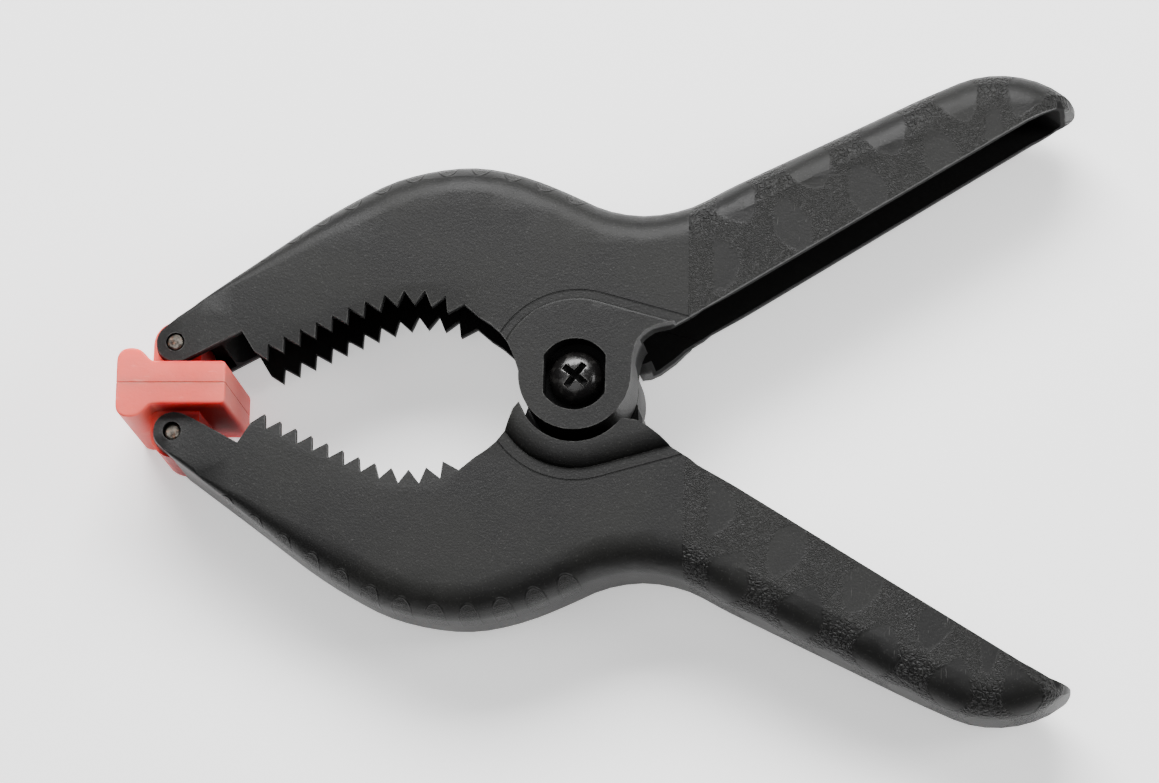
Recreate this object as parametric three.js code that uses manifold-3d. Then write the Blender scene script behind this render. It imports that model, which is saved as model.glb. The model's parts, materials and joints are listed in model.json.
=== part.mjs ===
// Hand spring clamp: two moulded U-channel arms on one pivot screw, a torsion spring and swivel pads.
// Millimetres, +Z up. The clamp lies on its side: jaws towards -X, handles towards +X.
// Each arm is drawn once, on the +Y side with its ear on the +Z half; the second arm is turned about X.
import * as THREE from "three";
import { mergeVertices } from "three/addons/utils/BufferGeometryUtils.js";
import Module from "manifold-3d";

const wasm = await Module();
wasm.setup();

// Arm moulding
const armHalf = 10; // half of the arm's thickness
const cheekWall = 2.2;
const webWall = 2.6;
const edgeRadius = 5.5; // rounding of the outer web along jaw belly and handle
const tipEdgeRadius = 0.8; // rounding of the outer web at the jaw tip
const channelHalf = armHalf - cheekWall;
const channelRadius = 3;
const handleTaper = 0.14; // share of the thickness lost at the handle's end
const taperStart = 20;
const taperEnd = 82;
const noseStart = 73.5; // the handle's end is rounded across its thickness from here
const noseEnd = 81.6;

// Hub
const hubHalf = 13; // ear faces stand 3 mm above the cheeks
const pivotRise = 1.4; // pivot above the line midway between the arms
const splitGap = 0.2; // each ear stops this far from the middle plane
const earRadius = 9.35;
const bossRadius = 12.6;
const plateauRadius = 13.15;
const collarRadius = 13.9;
const collarHeight = 2;
const collarShoulder = 3.4;
const recessFlats = 5.15; // half width across the flats of the screw recess
const recessRadius = 6.05;
const recessFloor = 8.5;
const pocketTop = 6;
const pocketRadius = 8.3;
const postRadius = 4.6;
const boreRadius = 2.62;

// Jaw tip, pads and pins
const padPin = new THREE.Vector2(-67.5, 7.6);
const tipRadius = 3.5;
const lugRadius = 4.05;
const lugHalf = 7.5;
const padHalf = 13;
const padFront = -76.7;
const padBack = -58.3;
const padPlate = 3.7;
const padFaceGap = 0.06;
const padEdge = 0.4;
const pinRadius = 1.4;
const pinBore = 1.55;

// Teeth
const toothCount = 12;
const toothDepth = 2.35;
const toothStep = 0.22; // the toothed strip stands this far below each cheek

// Spring
const wireRadius = 1;
const coilRadius = 6.9;
const coilPitch = 2.35;
const coilTurns = 4;
const legEnd = new THREE.Vector2(46, 40.4);
const legHeight = (coilPitch * coilTurns) / 2;

const nylonColour = 0x2b2c2d;
const padColour = 0xd9776a;
const steelColour = 0x9a968f;
const screwColour = 0x2a2927;
const springColour = 0x6d6c68;

// ---- helpers ----

function toSolid(geometry) {
  const bare = geometry.clone();
  bare.deleteAttribute("normal");
  bare.deleteAttribute("uv");
  const merged = mergeVertices(bare, 1e-4);
  return new wasm.Manifold(
    new wasm.Mesh({
      numProp: 3,
      vertProperties: merged.attributes.position.array,
      triVerts: new Uint32Array(merged.index.array),
    }),
  );
}

function toGeometry(body) {
  const data = body.getMesh();
  const geometry = new THREE.BufferGeometry();
  geometry.setAttribute("position", new THREE.BufferAttribute(new Float32Array(data.vertProperties), 3));
  geometry.setIndex(new THREE.BufferAttribute(new Uint32Array(data.triVerts), 1));
  return geometry;
}

function prism(points, low, high) {
  const shape = new THREE.Shape(points);
  const geometry = new THREE.ExtrudeGeometry(shape, { depth: high - low, bevelEnabled: false });
  return toSolid(geometry.translate(0, 0, low));
}

function disc(centre, radius, low, high, segments = 48) {
  const geometry = new THREE.CylinderGeometry(radius, radius, high - low, segments);
  geometry.rotateX(Math.PI / 2);
  return toSolid(geometry.translate(centre.x, centre.y, (low + high) / 2));
}

function block(x0, x1, y0, y1, z0, z1) {
  const geometry = new THREE.BoxGeometry(x1 - x0, y1 - y0, z1 - z0);
  return toSolid(geometry.translate((x0 + x1) / 2, (y0 + y1) / 2, (z0 + z1) / 2));
}

function smooth(value, low, high) {
  return THREE.MathUtils.smoothstep(value, low, high);
}

// Inward normals of an open run of points that has the body on its right-hand side.
function inwardNormals(points) {
  return points.map((point, i) => {
    const before = points[Math.max(i - 1, 0)];
    const after = points[Math.min(i + 1, points.length - 1)];
    const along = after.clone().sub(before).normalize();
    return new THREE.Vector2(along.y, -along.x);
  });
}

// Closed body from a stack of levels. `edge` is the shaped run of the outline and is moved inwards by
// level.inset * size(point); `closing` completes the loop and keeps its place on every level.
function stacked(edge, closing, levels, size = () => 1) {
  const normals = inwardNormals(edge);
  const loop = [...edge, ...closing];
  const count = loop.length;
  const positions = [];
  for (const level of levels) {
    loop.forEach((point, i) => {
      const scale = size(point);
      const shift = i < edge.length ? level.inset * scale + (level.base ?? 0) : 0;
      const normal = normals[i] ?? new THREE.Vector2();
      positions.push(point.x + normal.x * shift, point.y + normal.y * shift, level.z + level.rise * scale);
    });
  }
  const index = [];
  for (let layer = 0; layer + 1 < levels.length; layer++) {
    for (let i = 0; i < count; i++) {
      const a = layer * count + i;
      const b = layer * count + ((i + 1) % count);
      index.push(a, b + count, b, a, a + count, b + count);
    }
  }
  addCap(index, positions, 0, count, -1);
  addCap(index, positions, (levels.length - 1) * count, count, 1);
  const geometry = new THREE.BufferGeometry();
  geometry.setAttribute("position", new THREE.Float32BufferAttribute(positions, 3));
  geometry.setIndex(index);
  return toSolid(geometry);
}

function addCap(index, positions, start, count, side) {
  const contour = [];
  for (let i = 0; i < count; i++) {
    contour.push(new THREE.Vector2(positions[3 * (start + i)], positions[3 * (start + i) + 1]));
  }
  for (const face of THREE.ShapeUtils.triangulateShape(contour, [])) {
    const area = THREE.ShapeUtils.area(face.map((i) => contour[i]));
    const [a, b, c] = face.map((i) => i + start);
    if (area * side > 0) index.push(a, b, c);
    else index.push(a, c, b);
  }
}

// Levels of a slab whose two outer edges are rounded; sizes are multiples of the local radius.
function roundedLevels(half, steps, base = 0) {
  const levels = [];
  for (const side of [-1, 1]) {
    for (let step = 0; step <= steps; step++) {
      const turn = ((side < 0 ? steps - step : step) / steps) * (Math.PI / 2);
      const rise = side * (Math.sin(turn) - 1);
      levels.push({ z: side * half, rise, inset: 1 - Math.cos(turn), base });
    }
  }
  return levels;
}

// Levels of a raised region on a cheek, with a rounded shoulder `across` wide and `high` tall.
function raisedLevels(bottom, top, across, high, steps) {
  const levels = [{ z: bottom, rise: 0, inset: 0 }];
  for (let step = 0; step <= steps; step++) {
    const turn = (step / steps) * (Math.PI / 2);
    levels.push({ z: top - high + high * Math.sin(turn), rise: 0, inset: across * (1 - Math.cos(turn)) });
  }
  return levels;
}

// The same levels on the far face, listed from the lowest up.
function underside(levels) {
  return levels.map((level) => ({ ...level, z: -level.z })).reverse();
}

function arcPoints(centre, radius, from, to, steps) {
  const points = [];
  for (let step = 0; step <= steps; step++) {
    const angle = THREE.MathUtils.degToRad(from + ((to - from) * step) / steps);
    points.push(new THREE.Vector2(centre.x + radius * Math.cos(angle), centre.y + radius * Math.sin(angle)));
  }
  return points;
}

function curveThrough(pairs, samples) {
  const curve = new THREE.CatmullRomCurve3(
    pairs.map(([x, y]) => new THREE.Vector3(x, y, 0)),
    false,
    "centripetal",
  );
  return curve.getSpacedPoints(samples).map((point) => new THREE.Vector2(point.x, point.y));
}

const vectors = (pairs) => pairs.map(([x, y]) => new THREE.Vector2(x, y));

// ---- arm ----

// Outer edge from under the jaw tip, over belly and waist, to the handle's end.
function outerEdge() {
  const tip = arcPoints(padPin, tipRadius, 296, 126.5, 14);
  const back = curveThrough(
    [
      [-69.58, 10.41],
      [-56, 20.5],
      [-44.8, 29],
      [-38, 33.3],
      [-31.7, 36.4],
      [-24, 38.3],
      [-17, 38.6],
      [-9.2, 36.9],
      [-2, 34],
      [4, 31.3],
      [10.6, 30.3],
      [17.7, 31.6],
      [25.2, 35.4],
      [43.7, 44.3],
      [58, 51.2],
      [65, 54],
      [71, 54.4],
      [76.6, 53],
      [80.5, 50.6],
      [82.2, 48.9],
    ],
    62,
  );
  return [...tip, ...back.slice(1)];
}

// Sawtooth row: sharp flank towards the handle on the straight part, even flanks on the curve.
function toothRow() {
  const tips = curveThrough(
    [
      [-52, 4.7],
      [-44, 8.4],
      [-36, 12],
      [-30.6, 13.8],
      [-27.9, 14.1],
      [-25, 13.85],
      [-21.9, 12.7],
    ],
    toothCount - 1,
  );
  const row = [];
  tips.forEach((tip, i) => {
    const before = tips[Math.max(i - 1, 0)];
    const after = tips[Math.min(i + 1, tips.length - 1)];
    const along = after.clone().sub(before).normalize();
    const run = 1.2 + 0.12 * Math.max(i - 6, 0) + (i < 7 ? 0 : 0.2);
    row.push(tip);
    row.push(
      new THREE.Vector2(
        tip.x + along.x * run - along.y * toothDepth,
        tip.y + along.y * run + along.x * toothDepth,
      ),
    );
  });
  return row;
}

// Slab over the toothed strip, up to a line just above the tooth roots; cut off each cheek.
function toothStrips() {
  const roots = toothRow().filter((point, i) => i % 2 === 1);
  const line = roots.map((point) => new THREE.Vector2(point.x, point.y + 0.35));
  const points = [...vectors([[-55.2, 7.7]]), ...line, ...vectors([[-15.4, 11.9], [-15.4, 2], [-55.2, 2]])];
  const low = armHalf - toothStep;
  return prism(points, low, 20).add(prism(points, -20, -low));
}

// Everything an arm may fill on one half of its thickness; the outer side is left to the outer edge.
function innerOutline(hubRun) {
  return [
    ...arcPoints(padPin, tipRadius, 270, 296, 3),
    ...vectors([[-56.4, 9.6], [-54.3, 6.2]]),
    ...toothRow(),
    ...vectors([[-16.6, 12], [-14.6, 10.7], [-13.1, 9.4]]),
    ...vectors(hubRun),
    ...vectors([[19.1, 12.2], [74, 45.8], [78.5, 48.1], [82.2, 48.9]]),
    ...vectors([[95, 49], [95, 70], [-90, 70], [-90, 4.1]]),
  ];
}

// Ear side: the edge runs into the ear and leaves through a hollow curve that clears the other hub.
const hollowEdge = curveThrough(
  [
    [9.3, 1],
    [9.45, 3.2],
    [9.75, 5.8],
    [10.7, 7.9],
    [12.6, 9.4],
    [16, 10.3],
  ],
  12,
);
const earSideRun = [
  [-11.9, 7.9],
  [-10.9, 6],
  [-10, 3.95],
  [-9.2, 1.4],
  [-7, -1.5],
  [7, -1.5],
  ...hollowEdge.map((point) => [point.x, point.y]),
];

// Socket side: the edge stops at the socket and rises to a small hill behind it.
const socketSideRun = [
  [-11.4, 7.2],
  [-10.2, 4.2],
  [-9.2, 3],
  [6.8, 6],
  [8.6, 5.85],
  [10.3, 6.15],
  [11.9, 6.9],
  [14.3, 8.7],
  [16.2, 10.4],
];

function edgeSize(point) {
  return tipEdgeRadius + (edgeRadius - tipEdgeRadius) * smooth(point.x, -66, -36);
}

function raisedRegion(centre, radius, levels) {
  const arc = arcPoints(centre, radius, 160, 74.5, 18);
  const last = arc[arc.length - 1];
  const slope = Math.tan(THREE.MathUtils.degToRad(15.5));
  const end = new THREE.Vector2(24, last.y - (24 - last.x) * slope);
  const middle = last.clone().lerp(end, 0.5);
  return stacked([...arc, middle, end], vectors([[24, -4], [-14, -4]]), levels);
}

function hubSolids(pivot) {
  const plateau = raisedRegion(pivot, plateauRadius, raisedLevels(5, hubHalf, 0.6, 0.6, 3));
  const collarCentre = new THREE.Vector2(0, Math.max(pivot.y, 0));
  const collarTop = armHalf + collarHeight;
  const shoulder = raisedLevels(5, collarTop, collarShoulder, collarHeight, 6);
  const collar = raisedRegion(collarCentre, collarRadius, underside(shoulder));
  return { plateau, collar };
}

// Wide channel inside the arm, kept clear of the hub boss and open between the cheek edges.
function channel(edge, pivot) {
  const inside = edge.filter((point) => point.x > -63 && point.y > 8);
  const closing = vectors([[96, 30], [96, -40], [-63, -40]]);
  const levels = roundedLevels(channelHalf, 4, webWall);
  const hollow = stacked(inside, closing, levels, () => channelRadius);
  return hollow.subtract(disc(pivot, bossRadius, -armHalf, armHalf, 64));
}

// Room for the pad's lug; the mouth runs above the pin so that the pad's neck can swing.
function tipSlot() {
  const round = disc(padPin, lugRadius + 0.35, -channelHalf, channelHalf, 36);
  const mouth = block(padPin.x - 6, -60, -10, padPin.y + 1.6, -channelHalf, channelHalf);
  return round.add(mouth);
}

function doubleD(pivot, low, high) {
  const half = THREE.MathUtils.radToDeg(Math.acos(recessFlats / recessRadius));
  const points = [
    ...arcPoints(pivot, recessRadius, half, 180 - half, 12),
    ...arcPoints(pivot, recessRadius, 180 + half, 360 - half, 12),
  ];
  return prism(points, low, high);
}

// Start of the spring leg: where a line from the leg's far end touches the coil's centre line.
function legStart(pivot) {
  const reach = legEnd.clone().sub(pivot);
  const angle = reach.angle() + Math.acos(coilRadius / reach.length());
  return new THREE.Vector2(pivot.x + coilRadius * Math.cos(angle), pivot.y + coilRadius * Math.sin(angle));
}

function legSlot(pivot) {
  const start = legStart(pivot);
  const along = legEnd.clone().sub(start).normalize();
  const side = new THREE.Vector2(-along.y, along.x).multiplyScalar(wireRadius + 0.4);
  const far = start.clone().addScaledVector(along, 20);
  const near = start.clone().addScaledVector(along, 1);
  const lower = [near.clone().sub(side), far.clone().sub(side)];
  const upper = [far.clone().add(side), near.clone().add(side)];
  return prism([...lower, ...upper], splitGap, pocketTop);
}

function hubCuts(pivot) {
  const socketCentre = new THREE.Vector2(0, pivot.y > 0 ? pivot.y : 0.1);
  const socketRadius = pivot.y > 0 ? 9.9 : 9.7;
  const post = disc(pivot, postRadius, 0, pocketTop, 32);
  const pocket = disc(pivot, pocketRadius, 0, pocketTop, 48).subtract(post);
  return [
    disc(socketCentre, socketRadius, -20, splitGap, 64),
    doubleD(pivot, recessFloor, 20),
    pocket,
    disc(pivot, boreRadius, -1, 20, 24),
    legSlot(pivot),
  ];
}

// Everything the handle may fill, seen from the side of its web: a straight run with a round nose.
function noseLimit() {
  const half = armHalf + 4;
  const points = vectors([[-90, half], [-90, -half], [noseStart, -half]]);
  for (let step = -8; step <= 8; step++) {
    const turn = (step / 8) * (Math.PI / 2);
    const reach = noseStart + (noseEnd - noseStart) * Math.cos(turn) ** 0.9;
    points.push(new THREE.Vector2(reach, armHalf * Math.sin(turn)));
  }
  points.push(new THREE.Vector2(noseStart, half));
  const geometry = new THREE.ExtrudeGeometry(new THREE.Shape(points), { depth: 160, bevelEnabled: false });
  return toSolid(geometry.translate(0, 0, -80).rotateX(Math.PI / 2));
}

function taperHandle(geometry) {
  const position = geometry.attributes.position;
  for (let i = 0; i < position.count; i++) {
    const share = smooth(position.getX(i), taperStart, taperEnd * 1.3);
    position.setZ(i, position.getZ(i) * (1 - handleTaper * 1.3 * share));
  }
  return geometry;
}

function armGeometry(pivotY) {
  const pivot = new THREE.Vector2(0, pivotY);
  const edge = outerEdge();
  const slab = stacked(edge, vectors([[95, 30], [95, -40], [-66, -40]]), roundedLevels(armHalf, 5), edgeSize);
  const earSide = prism(innerOutline(earSideRun), 0, 20);
  const socketSide = prism(innerOutline(socketSideRun), -20, 0);
  const { plateau, collar } = hubSolids(pivot);
  let arm = slab.intersect(earSide.add(socketSide));
  arm = arm.add(plateau.intersect(earSide)).add(collar.intersect(socketSide));
  arm = arm.subtract(channel(edge, pivot));
  arm = arm.subtract(toothStrips()).add(disc(pivot, earRadius, splitGap, hubHalf, 72));
  for (const cut of [tipSlot(), ...hubCuts(pivot)]) arm = arm.subtract(cut);
  arm = arm.subtract(disc(padPin, pinBore, -20, 20, 32)).intersect(noseLimit());
  return taperHandle(toGeometry(arm));
}

// ---- pads and pins ----

function padGeometry() {
  const profile = new THREE.Shape();
  const buried = padFaceGap - padEdge * 0.75; // most of the edge rounding is trimmed off the meeting face
  profile.moveTo(padFront, buried);
  profile.lineTo(padBack, buried);
  profile.lineTo(padBack, padPlate - 0.9);
  profile.quadraticCurveTo(padBack, padPlate, padBack - 0.9, padPlate);
  profile.lineTo(-70.4, padPlate);
  profile.bezierCurveTo(-71.6, padPlate, -71.9, 5.8, -74, 5.9);
  profile.bezierCurveTo(-75.8, 6, padFront, 5.2, padFront, 3.6);
  const plate = new THREE.ExtrudeGeometry(profile, {
    depth: 2 * (padHalf - padEdge),
    bevelThickness: padEdge,
    bevelSize: padEdge,
    bevelOffset: -padEdge,
    bevelSegments: 3,
    curveSegments: 8,
  });
  plate.translate(0, 0, padEdge - padHalf);
  const lug = disc(padPin, lugRadius, -lugHalf, lugHalf, 48);
  const neck = block(padPin.x - lugRadius, padPin.x + lugRadius, 1, padPin.y, -lugHalf, lugHalf);
  const trim = block(padFront - 5, padBack + 5, -5, padFaceGap, -20, 20);
  const pad = toSolid(plate).subtract(trim).add(lug).add(neck);
  return toGeometry(pad.subtract(disc(padPin, pinBore, -20, 20, 32)));
}

function pinGeometry(low, high) {
  const end = pinRadius - 0.25;
  const lowEnd = vectors([[0, low], [end, low], [pinRadius, low + 0.25]]);
  const highEnd = vectors([[pinRadius, high - 0.25], [end, high], [0, high]]);
  const geometry = new THREE.LatheGeometry([...lowEnd, ...highEnd], 28);
  geometry.rotateX(Math.PI / 2);
  return geometry.translate(padPin.x, padPin.y, 0);
}

// ---- pivot hardware ----

const screwRadius = 2.5;
const headRadius = 4.57;
const headBottom = recessFloor + 0.1;
const headTop = 12.2;
const screwEnd = -12.3;

function screwGeometry(pivot) {
  const crown = [];
  const crownStart = headBottom + 0.5;
  for (let step = 0; step <= 8; step++) {
    const turn = (step / 8) * (Math.PI / 2);
    const radius = headRadius * Math.cos(turn) ** 0.62;
    crown.push([Math.max(radius, 0), crownStart + (headTop - crownStart) * Math.sin(turn) ** 0.9]);
  }
  crown[8][0] = 0;
  const profile = vectors([
    [0, screwEnd],
    [screwRadius - 0.5, screwEnd],
    [screwRadius, screwEnd + 0.5],
    [screwRadius, headBottom],
    [headRadius - 0.2, headBottom],
    [headRadius, headBottom + 0.2],
    ...crown,
  ]);
  const geometry = new THREE.LatheGeometry(profile, 40);
  geometry.rotateX(Math.PI / 2);
  const body = toSolid(geometry.translate(pivot.x, pivot.y, 0));
  return toGeometry(body.subtract(crossRecess(pivot)));
}

// Cross-head recess: two tapered slots and a pointed centre.
function crossRecess(pivot) {
  const turn = THREE.MathUtils.degToRad(52);
  let cross = null;
  for (const quarter of [0, Math.PI / 2]) {
    const slot = new THREE.CylinderGeometry(4, 1.7, 2.6, 4, 1);
    slot.rotateY(Math.PI / 4).scale(1, 1, 0.23).rotateX(Math.PI / 2).rotateZ(turn + quarter);
    const solid = toSolid(slot.translate(pivot.x, pivot.y, headTop - 0.9));
    cross = cross ? cross.add(solid) : solid;
  }
  return cross;
}

const nutFlats = 4;
const nutTop = -recessFloor - 0.1;
const nutBottom = -11.3;
const collarOuter = 3.75;
const collarEnd = -12.6;
const ringRadius = 3.2;

function nutGeometry(pivot) {
  const corner = nutFlats / Math.cos(Math.PI / 6);
  const hexagon = disc(pivot, corner, nutBottom, nutTop, 6);
  const dome = new THREE.CylinderGeometry(corner + 0.9, corner - 0.25, 2.7, 36);
  dome.rotateX(Math.PI / 2).translate(pivot.x, pivot.y, (nutBottom + nutTop) / 2);
  let nut = hexagon.intersect(toSolid(dome)).add(disc(pivot, collarOuter, collarEnd, nutBottom + 0.5, 36));
  nut = nut.subtract(disc(pivot, screwRadius + 0.08, -20, 0, 28));
  return toGeometry(nut.subtract(disc(pivot, ringRadius + 0.05, -20, nutBottom, 32)));
}

function lockRingGeometry(pivot) {
  const ring = disc(pivot, ringRadius, collarEnd + 0.25, nutBottom - 0.05, 32);
  return toGeometry(ring.subtract(disc(pivot, screwRadius + 0.08, -20, 0, 28)));
}

// ---- spring ----

function sweptWire(points, sides) {
  const path = new THREE.CatmullRomCurve3(points, false, "centripetal");
  const section = new THREE.Shape();
  for (let i = 0; i < sides; i++) {
    const angle = (2 * Math.PI * i) / sides;
    const method = i === 0 ? "moveTo" : "lineTo";
    section[method](wireRadius * Math.cos(angle), wireRadius * Math.sin(angle));
  }
  const steps = points.length * 2 - 2;
  return new THREE.ExtrudeGeometry(section, { steps, extrudePath: path, bevelEnabled: false });
}

// Leg in an arm's own frame: straight from the coil to the inside of the handle's web.
function legPoints(pivot, gap) {
  const start = legStart(pivot);
  const along = legEnd.clone().sub(start).normalize();
  const points = [];
  for (const share of [0, 0.35, 0.7, 1]) {
    const flat = start.clone().addScaledVector(along, gap).lerp(legEnd, share);
    points.push(new THREE.Vector3(flat.x, flat.y, legHeight));
  }
  return points;
}

function coilPoints(pivot) {
  const upper = legStart(pivot).sub(pivot).angle();
  const lowerLocal = legStart(new THREE.Vector2(0, -pivot.y)).sub(new THREE.Vector2(0, -pivot.y)).angle();
  const lower = -lowerLocal; // the lower arm's frame is turned about X
  const wrap = (((lower - upper) % (2 * Math.PI)) + 2 * Math.PI) % (2 * Math.PI);
  const sweep = 2 * Math.PI * (coilTurns - 1) + wrap;
  const steps = Math.ceil(sweep / (Math.PI / 8));
  const points = [];
  for (let step = 0; step <= steps; step++) {
    const share = step / steps;
    const angle = lower - sweep * share;
    const height = -legHeight + 2 * legHeight * share;
    const out = new THREE.Vector2(Math.cos(angle), Math.sin(angle));
    const flat = pivot.clone().addScaledVector(out, coilRadius);
    points.push(new THREE.Vector3(flat.x, flat.y, height));
  }
  return points;
}

function springGeometry(pivot) {
  const leg = legPoints(new THREE.Vector2(0, -pivot.y), 0)
    .map((point) => new THREE.Vector3(point.x, -point.y, -point.z))
    .reverse();
  const points = [...leg.slice(0, -1), ...coilPoints(pivot)];
  return toGeometry(toSolid(sweptWire(points, 8)));
}

// ---- assembly ----

const group = new THREE.Group();
group.name = "spring_clamp";

function addPiece(name, geometry, color, roughness, metalness) {
  const plain = geometry.index ? geometry.toNonIndexed() : geometry;
  plain.computeVertexNormals();
  const mesh = new THREE.Mesh(plain, new THREE.MeshStandardMaterial({ color, roughness, metalness }));
  mesh.name = name;
  group.add(mesh);
}

const pivot = new THREE.Vector2(0, pivotRise);
const lowerFrame = (geometry) => geometry.rotateX(Math.PI);

addPiece("upper_arm", armGeometry(pivotRise), nylonColour, 0.62, 0);
addPiece("lower_arm", lowerFrame(armGeometry(-pivotRise)), nylonColour, 0.62, 0);
addPiece("upper_pad", padGeometry(), padColour, 0.5, 0);
addPiece("lower_pad", lowerFrame(padGeometry()), padColour, 0.5, 0);
addPiece("upper_pad_pin", pinGeometry(-9.4, 9.85), steelColour, 0.4, 0.9);
addPiece("lower_pad_pin", lowerFrame(pinGeometry(-9.1, 9.8)), steelColour, 0.4, 0.9);
addPiece("pivot_screw", screwGeometry(pivot), screwColour, 0.25, 0.9);
addPiece("pivot_nut", nutGeometry(pivot), steelColour, 0.35, 0.9);
addPiece("pivot_nut_ring", lockRingGeometry(pivot), padColour, 0.5, 0);
addPiece("torsion_spring", springGeometry(pivot), springColour, 0.35, 0.9);
addPiece("torsion_spring_upper_leg", sweptWire(legPoints(pivot, 0.2), 8), springColour, 0.35, 0.9);

// Put the origin at the middle of the footprint, on the resting plane.
const bounds = new THREE.Box3().setFromObject(group);
const middle = bounds.getCenter(new THREE.Vector3());
for (const mesh of group.children) mesh.geometry.translate(-middle.x, -middle.y, -bounds.min.z);

export default group;
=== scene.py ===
"""Looks of a hand spring clamp: pebbled black nylon arms, soft salmon pads, steel pivot hardware.

The frame gives every piece its place in metres. Arms, pads and hardware are finished copies of the
frame's solids with their edges eased; each one rides on the body of the solid it stands for.
"""

import json
import math

import bmesh
import bpy
from mathutils import Matrix, Vector


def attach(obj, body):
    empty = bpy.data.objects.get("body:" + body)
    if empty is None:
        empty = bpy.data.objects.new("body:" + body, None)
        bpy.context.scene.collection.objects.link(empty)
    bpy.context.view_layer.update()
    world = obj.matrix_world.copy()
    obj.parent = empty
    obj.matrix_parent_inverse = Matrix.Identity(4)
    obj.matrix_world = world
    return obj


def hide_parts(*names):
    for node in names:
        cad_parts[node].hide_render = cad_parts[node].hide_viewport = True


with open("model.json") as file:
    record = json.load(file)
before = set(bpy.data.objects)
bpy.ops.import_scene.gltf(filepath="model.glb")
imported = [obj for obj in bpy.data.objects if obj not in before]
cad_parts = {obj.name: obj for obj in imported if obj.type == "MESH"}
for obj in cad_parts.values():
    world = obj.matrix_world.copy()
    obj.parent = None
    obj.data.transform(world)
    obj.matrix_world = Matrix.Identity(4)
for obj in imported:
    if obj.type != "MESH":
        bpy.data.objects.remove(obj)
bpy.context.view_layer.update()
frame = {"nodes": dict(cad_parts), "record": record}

MM = 0.001

# Places taken from the frame
JOINTS = {joint["name"]: joint for joint in frame["record"]["behaviour"]["joints"]}
PIVOT = Vector(JOINTS["jaw_hinge"]["pos_m"])
PAD_PIN_X = JOINTS["upper_pad_swivel"]["pos_m"][0]
MIDDLE_Z = PIVOT.z

# Arm outline from jaw tip to handle end, millimetres from the pivot along X and from the middle line
OUTER_EDGE = [
    (-69.6, 10.4), (-56, 20.5), (-44.8, 29), (-38, 33.3), (-31.7, 36.4), (-24, 38.3), (-17, 38.6),
    (-9.2, 36.9), (-2, 34), (4, 31.3), (10.6, 30.3), (17.7, 31.6), (25.2, 35.4), (43.7, 44.3),
    (58, 51.2), (65, 54), (71, 54.4), (76.6, 53), (80.5, 50.6), (82.2, 48.9),
]
EDGE_SAMPLES = 12  # points per stretch of the outline
ARM_HALF = 10.0
EDGE_RADIUS = 5.5  # rounding of the web along belly and handle
TIP_EDGE_RADIUS = 0.8  # rounding of the web at the jaw tip
ROUNDING_START, ROUNDING_END = -66.0, -36.0

# Channel between the cheeks, and how the handle thins towards its end
CHANNEL_HALF = 7.85
EDGE_WALL = 2.2  # everything further in than this from the outer edge counts as inside the channel
EAR_RIM = (9.0, 9.8)  # distances from the pivot of the ear's own rim, which is not inside
TAPER_START, TAPER_END = 20.0, 106.6
TAPER_DROP = 0.182

# Arched windows along the upper side of the jaw's outer edge, millimetres along it and round its section
WINDOW_FIRST = 14.6
WINDOW_PITCH = 5.785
WINDOW_COUNT = 12
WINDOW_HALF = 1.65
WINDOW_FOOT = 0.5
WINDOW_SHOULDER = 6.2
WINDOW_ARCH = 3.0

# Pebbled lattice on the handles
LATTICE_PITCH = 13.75
LATTICE_START = 104.6
LATTICE_LEAN = 0.69
LATTICE_SMOOTH = 0.36  # half width of a smooth diamond near the web, as a share of the pitch
LATTICE_SMOOTH_INNER = 0.27  # the same for the row on the cheek
GRIP_START = 18.3  # from the pivot along X
GRIP_FULL = 22.4  # pebbled all over up to here

# Mould insert line: radius round each hub, and the direction its straight run faces
UPPER_LINE_RADIUS = 15.0
LOWER_LINE_RADIUS = 15.9
LINE_LEAN = math.radians(74.5)

# Pivot screw and its recess, millimetres from the pivot's axis and from the middle plane
RECESS_RADIUS = 6.1
# Painted shade fills the screw recess: full below the first height, fading out by the second.
RECESS_DEPTH = (11.5, 12.8)  # fully dark below the first height, open above the second
CROSS_REACH = 2.9
CROSS_DEPTH = (0.7, 0.5)  # below the crown of the head
SCREW_CROWN = 12.2

# Pads, millimetres from the meeting plane, except where noted
# The back, neck and low bands below mark where painted shade goes on the pads.
PAD_BACK_FROM, PAD_BACK_TO = 3.0, 3.7
PAD_NECK_FROM, PAD_NECK_TO = 3.9, 4.6
PAD_LIP_FROM, PAD_LIP_TO = -3.2, -1.2  # from the pin along X
PAD_LOW_FROM, PAD_LOW_TO = -4.0, 11.0  # from the middle plane along Z

# Rubbed spots on the handles, in metres
UPPER_WORN_SPOT = (0.030, 0.024, 0.023)
LOWER_WORN_SPOT = (0.058, -0.037, 0.023)
WORN_REACH = 0.02

# Mesh work, in millimetres
GRID_STEP = 6
SLIVER = 0.3  # triangles thinner than this are closed up before the edges are eased

# Camera: long lens, looking down on the clamp from the lower side and a little from the handles
TO_CAMERA = Vector((0.112, -0.225, 0.968)).normalized()
AIM = Vector((-1.85, -0.93, 23.0)) * MM
CAMERA_DISTANCE = 1.0
LENS = 187.9


# ---- small helpers ----

def srgb(red, green, blue):
    """Linear colour of a display colour given as 0 to 255."""
    def linear(channel):
        value = channel / 255
        return value / 12.92 if value <= 0.04045 else ((value + 0.055) / 1.055) ** 2.4
    return (linear(red), linear(green), linear(blue), 1.0)


def link(piece):
    bpy.context.scene.collection.objects.link(piece)
    return piece


# ---- camera and studio ----

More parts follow.
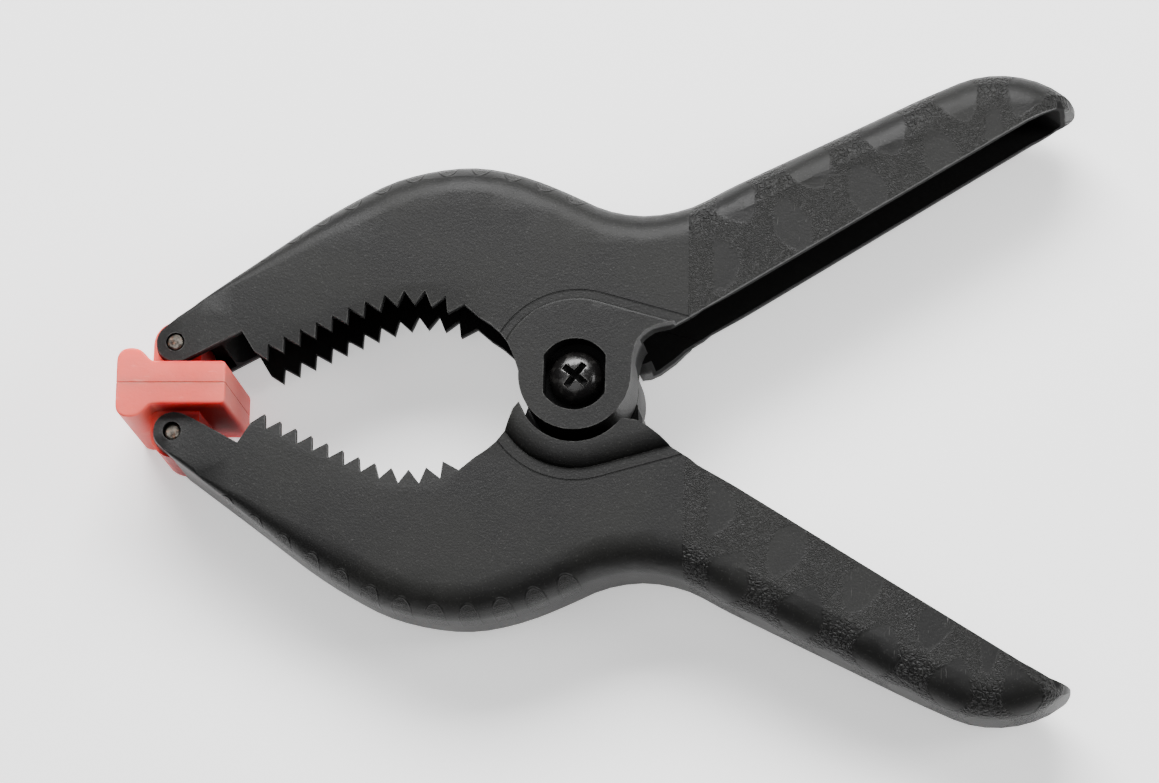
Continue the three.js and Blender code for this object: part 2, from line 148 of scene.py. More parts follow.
def set_camera():
    """Long lens that keeps the world's X axis level in the picture."""
    across = (Vector((1, 0, 0)) - TO_CAMERA * TO_CAMERA.x).normalized()
    up = TO_CAMERA.cross(across)
    data = bpy.data.cameras.new("camera")
    data.lens = LENS
    data.sensor_width = 36
    data.clip_start = 0.05
    data.clip_end = 20
    camera = link(bpy.data.objects.new("camera", data))
    turn = Matrix((across, up, TO_CAMERA)).transposed()
    camera.matrix_world = Matrix.Translation(AIM + TO_CAMERA * CAMERA_DISTANCE) @ turn.to_4x4()
    bpy.context.scene.camera = camera


def add_area_light(name, place, size, power):
    """Rectangular soft light that looks at the origin."""
    data = bpy.data.lights.new(name, "AREA")
    data.shape = "RECTANGLE"
    data.size, data.size_y = size
    data.energy = power
    light = link(bpy.data.objects.new(name, data))
    light.location = place
    light.rotation_euler = (-Vector(place)).to_track_quat("-Z", "Y").to_euler()


def set_studio():
    """Sky that darkens towards the viewer, with three soft lights."""
    world = bpy.data.worlds.new("studio")
    world.use_nodes = True
    tree = Tree(world.node_tree)
    background = world.node_tree.nodes["Background"]
    direction = tree.parts(tree.add("ShaderNodeTexCoord").outputs["Generated"])
    tree.join(tree.span(direction[1], -0.7, 0.6, 0.16, 1.0), background.inputs["Strength"])
    bpy.context.scene.world = world
    add_area_light("top_back_softbox", (-0.1, 0.75, 0.85), (0.9, 0.5), 34)
    add_area_light("right_strip", (0.8, 0.1, 0.35), (0.25, 0.8), 7)
    add_area_light("overhead", (-0.2, -0.1, 1.2), (0.8, 0.8), 5)


def make_floor():
    bm = bmesh.new()
    bmesh.ops.create_grid(bm, x_segments=2, y_segments=2, size=3)
    mesh = bpy.data.meshes.new("floor")
    bm.to_mesh(mesh)
    bm.free()
    floor = link(bpy.data.objects.new("floor", mesh))
    material = bpy.data.materials.new("pale_floor")
    material.use_nodes = True
    shader = material.node_tree.nodes["Principled BSDF"]
    shader.inputs["Base Color"].default_value = (0.92, 0.92, 0.92, 1)
    shader.inputs["Roughness"].default_value = 0.9
    shader.inputs["Specular IOR Level"].default_value = 0.1
    shader.inputs["Emission Color"].default_value = (1, 1, 1, 1)
    shader.inputs["Emission Strength"].default_value = 0.7
    mesh.materials.append(material)


# ---- node helpers ----

class Tree:
    """A node tree with short calls for adding and joining nodes."""

    def __init__(self, tree):
        self.tree = tree

    def add(self, kind, **settings):
        node = self.tree.nodes.new(kind)
        for name, value in settings.items():
            setattr(node, name, value)
        return node

    def join(self, source, target):
        self.tree.links.new(source, target)

    def fill(self, socket, value):
        if isinstance(value, bpy.types.NodeSocket):
            self.join(value, socket)
        elif value is not None:
            socket.default_value = value

    def math(self, operation, *values):
        node = self.add("ShaderNodeMath", operation=operation)
        for socket, value in zip(node.inputs, values):
            self.fill(socket, value)
        return node.outputs[0]

    def vector(self, operation, *values):
        node = self.add("ShaderNodeVectorMath", operation=operation)
        for socket, value in zip(node.inputs, values):
            self.fill(socket, value)
        return node.outputs["Value" if operation in ("LENGTH", "DOT_PRODUCT") else "Vector"]

    def span(self, value, low, high, to_low=0.0, to_high=1.0):
        """Smooth step from to_low at low to to_high at high."""
        node = self.add("ShaderNodeMapRange", interpolation_type="SMOOTHSTEP")
        names = ("Value", "From Min", "From Max", "To Min", "To Max")
        for name, given in zip(names, (value, low, high, to_low, to_high)):
            self.fill(node.inputs[name], given)
        return node.outputs["Result"]

    def place(self):
        return self.add("ShaderNodeTexCoord").outputs["Object"]

    def parts(self, vector):
        """The three parts of a vector, as sockets."""
        node = self.add("ShaderNodeSeparateXYZ")
        self.join(vector, node.inputs[0])
        return node.outputs

    def from_pivot_axis(self, place):
        """Distance from the pivot's axis."""
        flat = self.vector("MULTIPLY", self.vector("SUBTRACT", place, tuple(PIVOT)), (1.0, 1.0, 0.0))
        return self.vector("LENGTH", flat)

    def noise(self, place, scale, detail=2.0, roughness=0.5):
        node = self.add("ShaderNodeTexNoise")
        self.fill(node.inputs["Vector"], place)
        self.fill(node.inputs["Scale"], scale)
        self.fill(node.inputs["Detail"], detail)
        self.fill(node.inputs["Roughness"], roughness)
        return node.outputs["Fac"]

    def cell_edges(self, place, scale):
        """Distance to the nearest border between cells."""
        node = self.add("ShaderNodeTexVoronoi", feature="DISTANCE_TO_EDGE")
        self.fill(node.inputs["Vector"], place)
        self.fill(node.inputs["Scale"], scale)
        return node.outputs["Distance"]

    def blend(self, factor, first, second):
        node = self.add("ShaderNodeMix", data_type="RGBA")
        self.fill(node.inputs["Factor"], factor)
        self.fill(node.inputs[6], first)
        self.fill(node.inputs[7], second)
        return node.outputs[2]

    def group(self, group, **values):
        node = self.add("ShaderNodeGroup", node_tree=group)
        for name, value in values.items():
            self.fill(node.inputs[name], value)
        return node


def new_group(name, inputs, outputs):
    """An empty node group with its sockets: inputs are (label, kind, default), outputs (label, kind)."""
    group = bpy.data.node_groups.new(name, "ShaderNodeTree")
    for label, kind, default in inputs:
        socket = group.interface.new_socket(label, in_out="INPUT", socket_type=kind)
        socket.default_value = default
    for label, kind in outputs:
        group.interface.new_socket(label, in_out="OUTPUT", socket_type=kind)
    tree = Tree(group)
    return group, tree, tree.add("NodeGroupInput"), tree.add("NodeGroupOutput")


def edge_wear_group():
    """Mask of the strip along each edge, broken up by noise, for rubbed corners."""
    group, tree, given, result = new_group(
        "edge_wear",
        [("Reach", "NodeSocketFloat", 0.0003), ("Breakup", "NodeSocketFloat", 900.0)],
        [("Mask", "NodeSocketFloat")],
    )
    place = tree.place()
    rounded = tree.add("ShaderNodeBevel", samples=6)
    tree.join(given.outputs["Reach"], rounded.inputs["Radius"])
    own = tree.add("ShaderNodeNewGeometry").outputs["Normal"]
    turn = tree.math("SUBTRACT", 1.0, tree.vector("DOT_PRODUCT", rounded.outputs["Normal"], own))
    edge = tree.span(turn, 0.015, 0.12)
    broken = tree.span(tree.noise(place, given.outputs["Breakup"], 3), 0.4, 0.62)
    tree.join(tree.math("MULTIPLY", edge, broken), result.inputs["Mask"])
    return group


def grain_group():
    """Fine moulded grain: a height and a cloudy tone."""
    group, tree, given, result = new_group(
        "moulded_grain",
        [("Scale", "NodeSocketFloat", 2600.0)],
        [("Height", "NodeSocketFloat"), ("Cloud", "NodeSocketFloat")],
    )
    place = tree.place()
    fine = tree.noise(place, given.outputs["Scale"], 3, 0.65)
    coarse = tree.noise(place, tree.math("MULTIPLY", given.outputs["Scale"], 0.3), 2)
    height = tree.math("ADD", tree.math("MULTIPLY", fine, 0.7), tree.math("MULTIPLY", coarse, 0.3))
    tree.join(height, result.inputs["Height"])
    tree.join(tree.noise(place, 60, 3), result.inputs["Cloud"])
    return group


def pebble_group():
    """Leathery pebble texture of the grip bands and edge windows."""
    group, tree, given, result = new_group(
        "pebble",
        [("Scale", "NodeSocketFloat", 1300.0)],
        [("Height", "NodeSocketFloat"), ("Crack", "NodeSocketFloat")],
    )
    place = tree.place()
    warp = tree.add("ShaderNodeTexNoise")
    tree.fill(warp.inputs["Vector"], place)
    tree.fill(warp.inputs["Scale"], 700.0)
    shifted = tree.vector("MULTIPLY_ADD", warp.outputs["Color"], (0.0012, 0.0012, 0.0012), place)
    cell = tree.cell_edges(shifted, given.outputs["Scale"])
    pits = tree.span(cell, 0.02, 0.28)
    tree.join(tree.span(cell, 0.02, 0.16, 1.0, 0.0), result.inputs["Crack"])
    rough = tree.noise(place, tree.math("MULTIPLY", given.outputs["Scale"], 1.6), 3)
    height = tree.math("ADD", tree.math("MULTIPLY", pits, 0.7), tree.math("MULTIPLY", rough, 0.5))
    tree.join(height, result.inputs["Height"])
    return group


EDGE_WEAR = edge_wear_group()
GRAIN = grain_group()
PEBBLE = pebble_group()


def new_material(name):
    material = bpy.data.materials.new(name)
    material.use_nodes = True
    tree = Tree(material.node_tree)
    shader = material.node_tree.nodes["Principled BSDF"]
    return material, tree, shader


def add_bump(tree, shader, height, distance):
    bump = tree.add("ShaderNodeBump")
    bump.inputs["Distance"].default_value = distance
    bump.inputs["Strength"].default_value = 1.0
    tree.join(height, bump.inputs["Height"])
    tree.join(bump.outputs["Normal"], shader.inputs["Normal"])


# ---- materials ----

def edge_windows(tree, along, girth):
    """Mask and rim of the arched windows that follow the jaw's rounded outer edge."""
    first = WINDOW_FIRST - WINDOW_PITCH / 2
    last = first + WINDOW_COUNT * WINDOW_PITCH
    cell = tree.math("FRACT", tree.math("DIVIDE", tree.math("SUBTRACT", along, first), WINDOW_PITCH))
    across = tree.math("MULTIPLY", tree.math("SUBTRACT", cell, 0.5), WINDOW_PITCH / WINDOW_HALF)
    over = tree.math("MAXIMUM", tree.math("SUBTRACT", girth, WINDOW_SHOULDER), 0.0)
    arch = tree.math("DIVIDE", over, WINDOW_ARCH)
    squares = tree.math("ADD", tree.math("POWER", across, 2.0), tree.math("POWER", arch, 2.0))
    radius = tree.math("SQRT", squares)
    beyond = tree.math("MULTIPLY", tree.math("SUBTRACT", radius, 1.0), WINDOW_HALF)
    gap = tree.math("MAXIMUM", beyond, tree.math("SUBTRACT", WINDOW_FOOT, girth))
    after_first = tree.math("GREATER_THAN", along, first)
    zone = tree.math("MULTIPLY", after_first, tree.math("LESS_THAN", along, last))
    inside = tree.math("MULTIPLY", tree.span(gap, -0.14, 0.0, 1.0, 0.0), zone)
    rim = tree.math("MULTIPLY", tree.span(gap, -0.12, 0.02), tree.span(gap, 0.08, 0.3, 1.0, 0.0))
    return inside, tree.math("MULTIPLY", rim, zone)


def grip_lattice(tree, place, along, girth, from_pivot):
    """Mask of the pebbled lattice that wraps the handle and leaves smooth diamonds open."""
    across = tree.math("ABSOLUTE", girth)
    powers = []
    for lean in (LATTICE_LEAN, -LATTICE_LEAN):
        slid = tree.math("MULTIPLY_ADD", across, lean, tree.math("SUBTRACT", along, LATTICE_START))
        wave = tree.math("FRACT", tree.math("DIVIDE", slid, LATTICE_PITCH))
        offset = tree.math("ABSOLUTE", tree.math("SUBTRACT", wave, 0.5))
        powers.append(tree.math("POWER", offset, 3.0))
    reach = tree.math("POWER", tree.math("ADD", *powers), 1 / 3)
    size = tree.span(across, 13.0, 21.0, LATTICE_SMOOTH, LATTICE_SMOOTH_INNER)
    beyond = tree.math("SUBTRACT", reach, size)
    ragged = tree.math("MULTIPLY_ADD", tree.noise(place, 900.0, 2), 0.06, beyond)
    band = tree.span(ragged, 0.0, 0.07)
    first_band = tree.span(from_pivot, GRIP_FULL - 0.3, GRIP_FULL + 0.3, 1.0, 0.0)
    band = tree.math("MAXIMUM", band, first_band)
    return tree.math("MULTIPLY", band, tree.span(from_pivot, GRIP_START - 0.2, GRIP_START + 0.2))


def insert_line(tree, place, side, centre_y, radius):
    """Fine witness line of the mould insert: an arc round the hub that runs on as a straight line."""
    flat = tree.vector("SUBTRACT", place, (PIVOT.x, centre_y, 0))
    flat = tree.vector("MULTIPLY", flat, (1, 1, 0))
    round_reach = tree.vector("LENGTH", flat)
    outward = (math.cos(LINE_LEAN), side * math.sin(LINE_LEAN), 0)
    onward = (math.sin(LINE_LEAN), -side * math.cos(LINE_LEAN), 0)
    straight = tree.vector("DOT_PRODUCT", flat, outward)
    past = tree.math("GREATER_THAN", tree.vector("DOT_PRODUCT", flat, onward), 0.0)
    gap = tree.math("SUBTRACT", straight, round_reach)
    reach = tree.math("MULTIPLY_ADD", gap, past, round_reach)
    off = tree.math("ABSOLUTE", tree.math("SUBTRACT", reach, radius * MM))
    line = tree.span(off, 0.05 * MM, 0.14 * MM, 1.0, 0.0)
    zone = tree.span(reach, 0.0, 0.001)
    return tree.math("MULTIPLY", line, zone)


def scratches(tree, place, centre):
    """Light strokes across the handle, near one worn spot on the cheek."""
    stretched = tree.vector("MULTIPLY", place, (5200.0, 300.0, 300.0))
    stroke = tree.span(tree.noise(stretched, 1.0, 2), 0.69, 0.75)
    off = tree.vector("MULTIPLY", tree.vector("SUBTRACT", place, centre), (1.0, 1.0, 0.0))
    near = tree.span(tree.vector("LENGTH", off), WORN_REACH * 0.3, WORN_REACH, 1.0, 0.0)
    return tree.math("MULTIPLY", stroke, near)


def screw_recess_shade(tree, place):
    """Mask of the deep recess round the screw and the nut, where painted shade darkens the moulding."""
    reach = tree.from_pivot_axis(place)
    near = tree.span(reach, RECESS_RADIUS * MM, (RECESS_RADIUS + 0.2) * MM, 1.0, 0.0)
    off_middle = tree.math("ABSOLUTE", tree.math("SUBTRACT", tree.parts(place)[2], MIDDLE_Z))
    shallow, open_air = RECESS_DEPTH
    deep = tree.span(off_middle, shallow * MM, open_air * MM, 1.0, 0.0)
    return tree.math("MULTIPLY", near, deep)


def nylon_material(name, side, line_centre_y, line_radius, worn_spot):
    """Black moulded nylon: fine grain, pebbled grip and windows, insert line, painted shade in the hollows,
    rubbed edges.
    """
    material, tree, shader = new_material(name)
    place = tree.place()
    from_pivot = tree.math("MULTIPLY", tree.math("SUBTRACT", tree.parts(place)[0], PIVOT.x), 1 / MM)
    edge_map = tree.parts(tree.add("ShaderNodeUVMap", uv_map="edge_map").outputs["UV"])
    along = tree.math("MULTIPLY", edge_map[0], 1 / MM)
    girth = tree.math("MULTIPLY", edge_map[1], 1 / MM)
    window, rim = edge_windows(tree, along, girth)
    lattice = grip_lattice(tree, place, along, girth, from_pivot)
    inside = tree.add("ShaderNodeAttribute", attribute_name="inside").outputs["Fac"]
    outside = tree.math("SUBTRACT", 1.0, tree.span(inside, 0.1, 0.6))
    onto_cheek = tree.span(tree.math("ABSOLUTE", girth), 9.0, 15.0)
    on_web = tree.math("SUBTRACT", 1.0, onto_cheek)
    coarse = tree.math("MULTIPLY", tree.math("MULTIPLY", lattice, on_web), outside)
    fine = tree.math("MAXIMUM", window, tree.math("MULTIPLY", lattice, onto_cheek))
    fine = tree.math("MULTIPLY", fine, outside)
    pebbled = tree.math("MAXIMUM", coarse, fine)
    grain = tree.group(GRAIN, Scale=2600.0)
    pebble = tree.group(PEBBLE, Scale=1250.0)
    fine_pebble = tree.group(PEBBLE, Scale=2600.0)
    line = insert_line(tree, place, side, line_centre_y, line_radius)
    wear = tree.group(EDGE_WEAR, Reach=0.00035, Breakup=900.0)
    stroke = tree.math("MULTIPLY", scratches(tree, place, worn_spot), outside)
    recess = screw_recess_shade(tree, place)
    # Painted shade mask: the screw recess and the channel walls between the cheeks.
    shaded = tree.math("MAXIMUM", recess, tree.math("SUBTRACT", 1.0, outside))

    height = tree.math("MULTIPLY", grain.outputs["Height"], 0.3)
    coarse_height = tree.math("MULTIPLY", pebble.outputs["Height"], coarse)
    height = tree.math("MULTIPLY_ADD", coarse_height, 1.3, height)
    fine_height = tree.math("MULTIPLY", fine_pebble.outputs["Height"], fine)
    height = tree.math("MULTIPLY_ADD", fine_height, 0.35, height)
    height = tree.math("MULTIPLY_ADD", rim, 0.8, height)
    height = tree.math("MULTIPLY_ADD", line, -1.4, height)
    height = tree.math("MULTIPLY_ADD", stroke, -0.3, height)
    add_bump(tree, shader, height, 0.00022)

    cloud = tree.span(grain.outputs["Cloud"], 0.3, 0.7)
    base = tree.blend(cloud, srgb(22, 22, 22), srgb(27, 27, 26))
    specks = tree.span(tree.noise(place, 3200.0, 2), 0.6, 0.74)
    base = tree.blend(tree.math("MULTIPLY", specks, 0.3), base, srgb(70, 70, 68))
    base = tree.blend(tree.math("MULTIPLY", wear.outputs["Mask"], 0.45), base, srgb(92, 92, 90))
    base = tree.blend(tree.math("MULTIPLY", stroke, 0.6), base, srgb(112, 112, 110))
    cracked = tree.math("MULTIPLY", tree.math("MULTIPLY", pebble.outputs["Crack"], coarse), 0.6)
    base = tree.blend(cracked, base, srgb(6, 6, 6))
    base = tree.blend(tree.math("MULTIPLY", fine, 0.5), base, srgb(38, 38, 37))
    fine_cracked = tree.math("MULTIPLY", tree.math("MULTIPLY", fine_pebble.outputs["Crack"], fine), 0.3)
    base = tree.blend(fine_cracked, base, srgb(16, 16, 16))
    base = tree.blend(tree.math("MULTIPLY", line, 0.7), base, srgb(7, 7, 7))
    # Painted shade, nearly black, in the screw recess and the channel.
    base = tree.blend(tree.math("MULTIPLY", shaded, 0.9), base, srgb(5, 5, 5))
    tree.join(base, shader.inputs["Base Color"])
    rough = tree.math("MULTIPLY_ADD", cloud, 0.08, 0.42)
    rough = tree.math("MULTIPLY_ADD", pebbled, -0.02, rough)
    rough = tree.math("MAXIMUM", rough, tree.math("MULTIPLY", shaded, 0.85))
    tree.join(rough, shader.inputs["Roughness"])
    shader.inputs["Specular IOR Level"].default_value = 0.17
    return material


def pad_painted_shade(tree, place):
    """Masks for painted shade on the pad: its deep red back, its darker neck, and its side towards the
    bench.
    """
    x, y, z = tree.parts(place)
    height = tree.math("ABSOLUTE", y)
    behind_lip = tree.span(x, PAD_PIN_X + PAD_LIP_FROM * MM, PAD_PIN_X + PAD_LIP_TO * MM)
    back = tree.math("MULTIPLY", tree.span(height, PAD_BACK_FROM * MM, PAD_BACK_TO * MM), behind_lip)
    neck = tree.math("MULTIPLY", tree.span(height, PAD_NECK_FROM * MM, PAD_NECK_TO * MM), behind_lip)
    low = tree.span(z, MIDDLE_Z + PAD_LOW_FROM * MM, MIDDLE_Z + PAD_LOW_TO * MM, 1.0, 0.0)
    return back, neck, low


def pad_material():
    material, tree, shader = new_material("soft_pad")
    place = tree.place()
    grain = tree.group(GRAIN, Scale=1500.0)
    cloud = tree.span(tree.noise(place, 90.0, 3), 0.3, 0.7)
    base = tree.blend(cloud, srgb(220, 90, 80), srgb(227, 106, 96))
    wear = tree.group(EDGE_WEAR, Reach=0.0005, Breakup=500.0)
    base = tree.blend(tree.math("MULTIPLY", wear.outputs["Mask"], 0.35), base, srgb(240, 150, 140))
    scuff = tree.span(tree.noise(tree.vector("MULTIPLY", place, (260.0, 900.0, 200.0)), 1.0, 4), 0.62, 0.74)
    base = tree.blend(tree.math("MULTIPLY", scuff, 0.22), base, srgb(243, 170, 158))
    back, neck, low = pad_painted_shade(tree, place)
    # Painted shade: deeper red towards the bench and on the back faces, darkest in the neck.
    base = tree.blend(tree.math("MULTIPLY", low, 0.55), base, srgb(202, 48, 40))
    base = tree.blend(tree.math("MULTIPLY", back, 0.85), base, srgb(196, 18, 30))
    base = tree.blend(tree.math("MULTIPLY", neck, 0.8), base, srgb(104, 10, 10))
    tree.join(base, shader.inputs["Base Color"])
    tree.join(tree.math("MULTIPLY_ADD", cloud, 0.12, 0.42), shader.inputs["Roughness"])
    shader.inputs["Subsurface Weight"].default_value = 0.8
    shader.inputs["Subsurface Radius"].default_value = (1.0, 0.15, 0.1)
    shader.inputs["Subsurface Scale"].default_value = 0.0045
    shader.inputs["Specular IOR Level"].default_value = 0.14
    height = tree.math("MULTIPLY_ADD", tree.noise(place, 120.0, 2), 1.2, grain.outputs["Height"])
    add_bump(tree, shader, height, 0.00006)
    return material


def steel_material(name, light, dark, rust, roughness):
    """Plain steel with fine scratches, darker patches and a share of rust."""
    material, tree, shader = new_material(name)
    place = tree.place()
    patch = tree.span(tree.noise(place, 900.0, 4, 0.6), 0.35, 0.68)
    base = tree.blend(patch, light, dark)
    stain = tree.span(tree.noise(place, 1400.0, 4, 0.7), 0.52, 0.66)
    base = tree.blend(tree.math("MULTIPLY", stain, rust), base, srgb(126, 84, 58))
    wear = tree.group(EDGE_WEAR, Reach=0.0002, Breakup=1500.0)
    base = tree.blend(tree.math("MULTIPLY", wear.outputs["Mask"], 0.6), base, srgb(205, 203, 198))
    tree.join(base, shader.inputs["Base Color"])
    metal = tree.math("SUBTRACT", 1.0, tree.math("MULTIPLY", stain, rust))
    tree.join(metal, shader.inputs["Metallic"])
    rough = tree.math("MULTIPLY_ADD", patch, 0.18, roughness)
    tree.join(rough, shader.inputs["Roughness"])
    scratch = tree.noise(tree.vector("MULTIPLY", place, (3.0, 0.4, 1.0)), 1800.0, 3)
    add_bump(tree, shader, tree.math("ADD", scratch, patch), 0.00004)
    return material


def cross_pit(tree, place):
    """Mask of everything in the screw's cross recess, below the crown of the head, where painted shade goes.
    """
    reach = tree.from_pivot_axis(place)
    near = tree.span(reach, CROSS_REACH * MM, (CROSS_REACH + 0.2) * MM, 1.0, 0.0)
    bottom, top = (MIDDLE_Z + (SCREW_CROWN - depth) * MM for depth in CROSS_DEPTH)
    sunk = tree.span(tree.parts(place)[2], bottom, top, 1.0, 0.0)
    return tree.math("MULTIPLY", near, sunk)


def black_screw_material():
    material, tree, shader = new_material("blackened_screw")
    place = tree.place()
    cloud = tree.noise(place, 700.0, 4, 0.6)
    worn = tree.span(cloud, 0.5, 0.66)
    base = tree.blend(worn, srgb(17, 16, 16), srgb(32, 31, 30))
    wear = tree.group(EDGE_WEAR, Reach=0.00015, Breakup=1800.0)
    base = tree.blend(tree.math("MULTIPLY", wear.outputs["Mask"], 0.5), base, srgb(150, 148, 144))
    pit = cross_pit(tree, place)
    # Painted shade: the cross recess is made nearly black.
    base = tree.blend(pit, base, srgb(3, 3, 3))
    tree.join(base, shader.inputs["Base Color"])
    rough = tree.math("MULTIPLY_ADD", worn, 0.12, 0.24)
    tree.join(tree.math("MAXIMUM", rough, pit), shader.inputs["Roughness"])
    tree.join(tree.math("MULTIPLY_ADD", pit, -0.2, 0.2), shader.inputs["Metallic"])
    shader.inputs["Specular IOR Level"].default_value = 0.45
    add_bump(tree, shader, tree.noise(place, 1500.0, 3), 0.00004)
    return material


# ---- pieces ----

def merged_copy(node):
    """A joined copy of a frame solid's mesh, with the triangulation of its flat faces dissolved."""
    bm = bmesh.new()
    bm.from_mesh(frame["nodes"][node].data)
    bmesh.ops.remove_doubles(bm, verts=bm.verts, dist=2e-6)
    bmesh.ops.dissolve_limit(bm, angle_limit=math.radians(0.6), verts=bm.verts, edges=bm.edges)
    return bm


def as_piece(bm, name, material, smooth_angle):
    """An object made of a finished mesh, smooth except at edges sharper than the angle."""
    mesh = bpy.data.meshes.new(name)
    bm.to_mesh(mesh)
    bm.free()
    mesh.materials.clear()
    mesh.materials.append(material)
    piece = link(bpy.data.objects.new(name, mesh))
    mesh.shade_smooth()
    mesh.set_sharp_from_angle(angle=math.radians(smooth_angle))
    return piece


def ease_edges(piece, width, angle=35):
    """Small rounding of the sharp edges, with the flat faces kept flat in the shading."""
    bevel = piece.modifiers.new("eased_edges", "BEVEL")
    bevel.width = width
    bevel.segments = 2
    bevel.limit_method = "ANGLE"
    bevel.angle_limit = math.radians(angle)
    bevel.use_clamp_overlap = True
    level = piece.modifiers.new("level_faces", "WEIGHTED_NORMAL")
    level.mode = "FACE_AREA"
    level.weight = 50
    level.keep_sharp = True


def stand_for(piece, node, body):
    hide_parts(node)
    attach(piece, body)


def centripetal_curve(points, samples):
    """Points along a centripetal Catmull-Rom curve, the same curve that shapes the arm's outer edge."""
    guide = [Vector(point) for point in points]
    guide = [guide[0] * 2 - guide[1], *guide, guide[-1] * 2 - guide[-2]]
    curve = []
    for p0, p1, p2, p3 in zip(guide, guide[1:], guide[2:], guide[3:]):
        steps = [math.sqrt(max((b - a).length, 1e-6)) for a, b in ((p0, p1), (p1, p2), (p2, p3))]
        t1 = steps[0]
        t2 = t1 + steps[1]
        t3 = t2 + steps[2]
        for step in range(samples):
            t = t1 + (t2 - t1) * step / samples
            a1 = p0 * ((t1 - t) / t1) + p1 * (t / t1)
            a2 = p1 * ((t2 - t) / (t2 - t1)) + p2 * ((t - t1) / (t2 - t1))
            a3 = p2 * ((t3 - t) / (t3 - t2)) + p3 * ((t - t2) / (t3 - t2))
            b1 = a1 * ((t2 - t) / t2) + a2 * (t / t2)
            b2 = a2 * ((t3 - t) / (t3 - t1)) + a3 * ((t - t1) / (t3 - t1))
            curve.append(b1 * ((t2 - t) / (t2 - t1)) + b2 * ((t - t1) / (t2 - t1)))
    curve.append(guide[-2])
    return curve


def edge_distance(curve, lengths, point):
    """Arc length along the outer edge and distance inwards from it, for a point beside the edge."""
    best = (1e9, 0.0)
    for i in range(len(curve) - 1):
        start = curve[i]
        side = curve[i + 1] - start
        share = min(max((point - start).dot(side) / side.length_squared, 0.0), 1.0)
        gap = (start + side * share - point).length
        if gap < best[0]:
            best = (gap, lengths[i] + share * side.length)
    return best[1], best[0]


def edge_radius_at(x):
    """Rounding of the outer edge, which grows from the jaw tip to the belly."""
    share = min(max((x - ROUNDING_START) / (ROUNDING_END - ROUNDING_START), 0.0), 1.0)
    return TIP_EDGE_RADIUS + (EDGE_RADIUS - TIP_EDGE_RADIUS) * share * share * (3 - 2 * share)


def girth_of(inset, height, radius):
    """Distance round the section from its middle plane, over the rounded edge and onto the cheek."""
    flat = ARM_HALF - radius
    if inset >= radius:
        return flat + radius * math.pi / 2 + inset - radius
    if abs(height) <= flat:
        return abs(height)
    return flat + radius * math.acos(1 - inset / radius)


def is_inside(place, x, inset, height):
    """True for the walls of the channel and the hub's pockets."""
    taper = min(max((x - TAPER_START) / (TAPER_END - TAPER_START), 0.0), 1.0)
    scale = 1 - TAPER_DROP * taper * taper * (3 - 2 * taper)
    from_pivot = math.hypot(place.x - PIVOT.x, place.y - PIVOT.y) / MM
    in_channel = abs(height) < CHANNEL_HALF * scale and inset > EDGE_WALL
    on_ear_rim = EAR_RIM[0] < from_pivot < EAR_RIM[1]
    return in_channel and not on_ear_rim


def map_along_edge(bm):
    """UV map in metres: arc length along the arm's outer edge, and girth over its rounded side."""
    curve = centripetal_curve(OUTER_EDGE, EDGE_SAMPLES)
    lengths = [0.0]
    for a, b in zip(curve, curve[1:]):
        lengths.append(lengths[-1] + (b - a).length)
    layer = bm.loops.layers.uv.new("edge_map")
    inner = bm.verts.layers.float.new("inside")
    spots = {}
    for vert in bm.verts:
        point = Vector(((vert.co.x - PIVOT.x) / MM, abs(vert.co.y) / MM))
        along, inset = edge_distance(curve, lengths, point)
        height = (vert.co.z - MIDDLE_Z) / MM
        girth = girth_of(inset, height, edge_radius_at(point.x))
        vert[inner] = 1.0 if is_inside(vert.co, point.x, inset, height) else 0.0
        spots[vert.index] = (along * MM, math.copysign(girth * MM, height))
    for face in bm.faces:
        for loop in face.loops:
            loop[layer].uv = spots[loop.vert.index]


def cut_grid(bm, low, high, normal):
    """Extra cuts across the flat cheeks so that the edge map stays even over them."""
    place = low * MM
    while place < high * MM:
        geometry = bm.verts[:] + bm.edges[:] + bm.faces[:]
        bmesh.ops.bisect_plane(bm, geom=geometry, dist=1e-7, plane_co=normal * place, plane_no=normal)
        place += GRID_STEP * MM


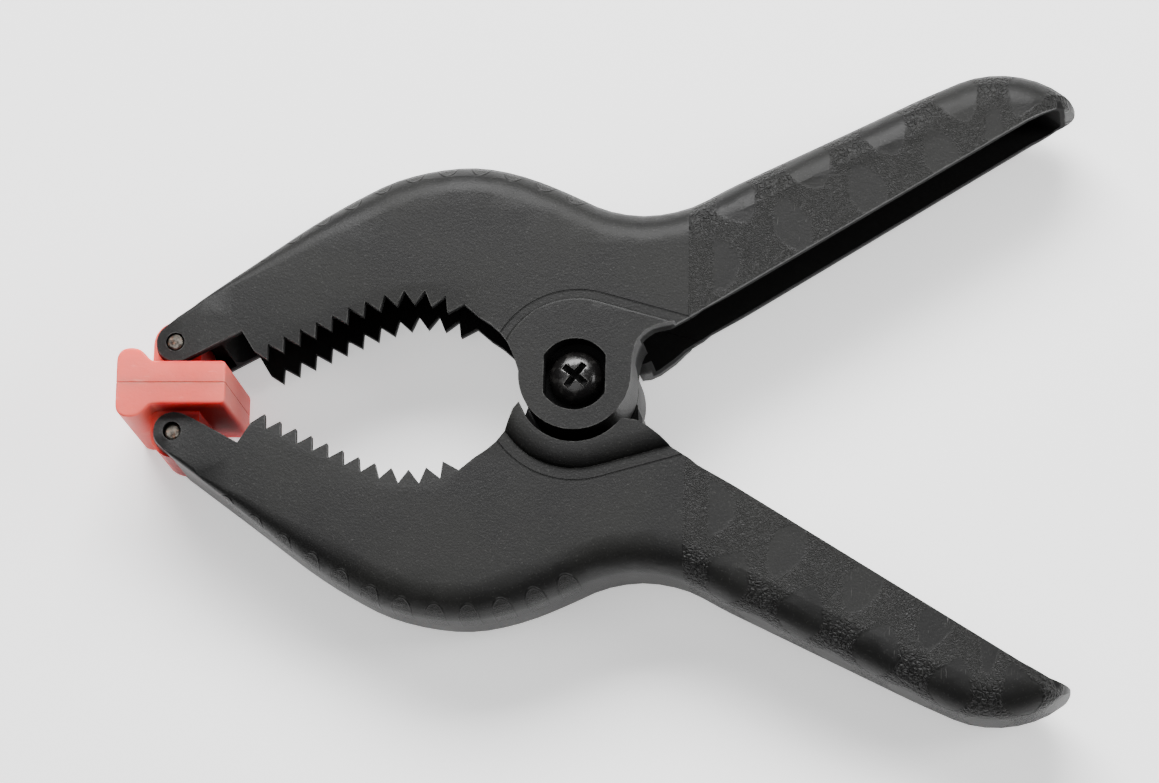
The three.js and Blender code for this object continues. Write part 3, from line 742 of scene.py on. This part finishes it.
def make_arm(node, body, side, line_centre_y, line_radius, worn_spot):
    """One arm; side is 1 for the upper arm and -1 for the lower one."""
    bm = merged_copy(node)
    cut_grid(bm, -66, 78, Vector((1, 0, 0)))
    cut_grid(bm, 12, 52, Vector((0, side, 0)))
    bmesh.ops.dissolve_degenerate(bm, dist=SLIVER * MM, edges=bm.edges)
    bm.verts.index_update()
    map_along_edge(bm)
    material = nylon_material(node + "_nylon", side, line_centre_y, line_radius, worn_spot)
    piece = as_piece(bm, node + "_moulding", material, 32)
    ease_edges(piece, 0.3 * MM)
    stand_for(piece, node, body)


def make_pad(node, body, material):
    piece = as_piece(merged_copy(node), node + "_soft", material, 40)
    ease_edges(piece, 0.12 * MM, 40)
    stand_for(piece, node, body)


def make_hardware(node, body, material, width=0.12):
    piece = as_piece(merged_copy(node), node + "_finished", material, 35)
    ease_edges(piece, width * MM)
    stand_for(piece, node, body)


# ---- build ----

set_camera()
set_studio()
make_floor()

make_arm("upper_arm", "upper_body", 1, PIVOT.y, UPPER_LINE_RADIUS, UPPER_WORN_SPOT)
make_arm("lower_arm", "lower_body", -1, 0.0, LOWER_LINE_RADIUS, LOWER_WORN_SPOT)

soft_pad = pad_material()
make_pad("upper_pad", "upper_pad_body", soft_pad)
make_pad("lower_pad", "lower_pad_body", soft_pad)

pin_steel = steel_material("pin_steel", srgb(96, 92, 86), srgb(34, 32, 30), 0.5, 0.45)
nut_steel = steel_material("nut_steel", srgb(176, 176, 172), srgb(120, 119, 115), 0.05, 0.3)
spring_steel = steel_material("spring_steel", srgb(104, 102, 98), srgb(58, 57, 55), 0.12, 0.34)
ring_nylon = steel_material("ring_nylon", srgb(206, 205, 196), srgb(190, 188, 178), 0.0, 0.5)

make_hardware("upper_pad_pin", "upper_body", pin_steel)
make_hardware("lower_pad_pin", "lower_body", pin_steel)
make_hardware("pivot_screw", "lower_body", black_screw_material())
make_hardware("pivot_nut", "lower_body", nut_steel)
make_hardware("pivot_nut_ring", "lower_body", ring_nylon, 0.08)
make_hardware("torsion_spring", "lower_body", spring_steel)
make_hardware("torsion_spring_upper_leg", "upper_body", spring_steel)
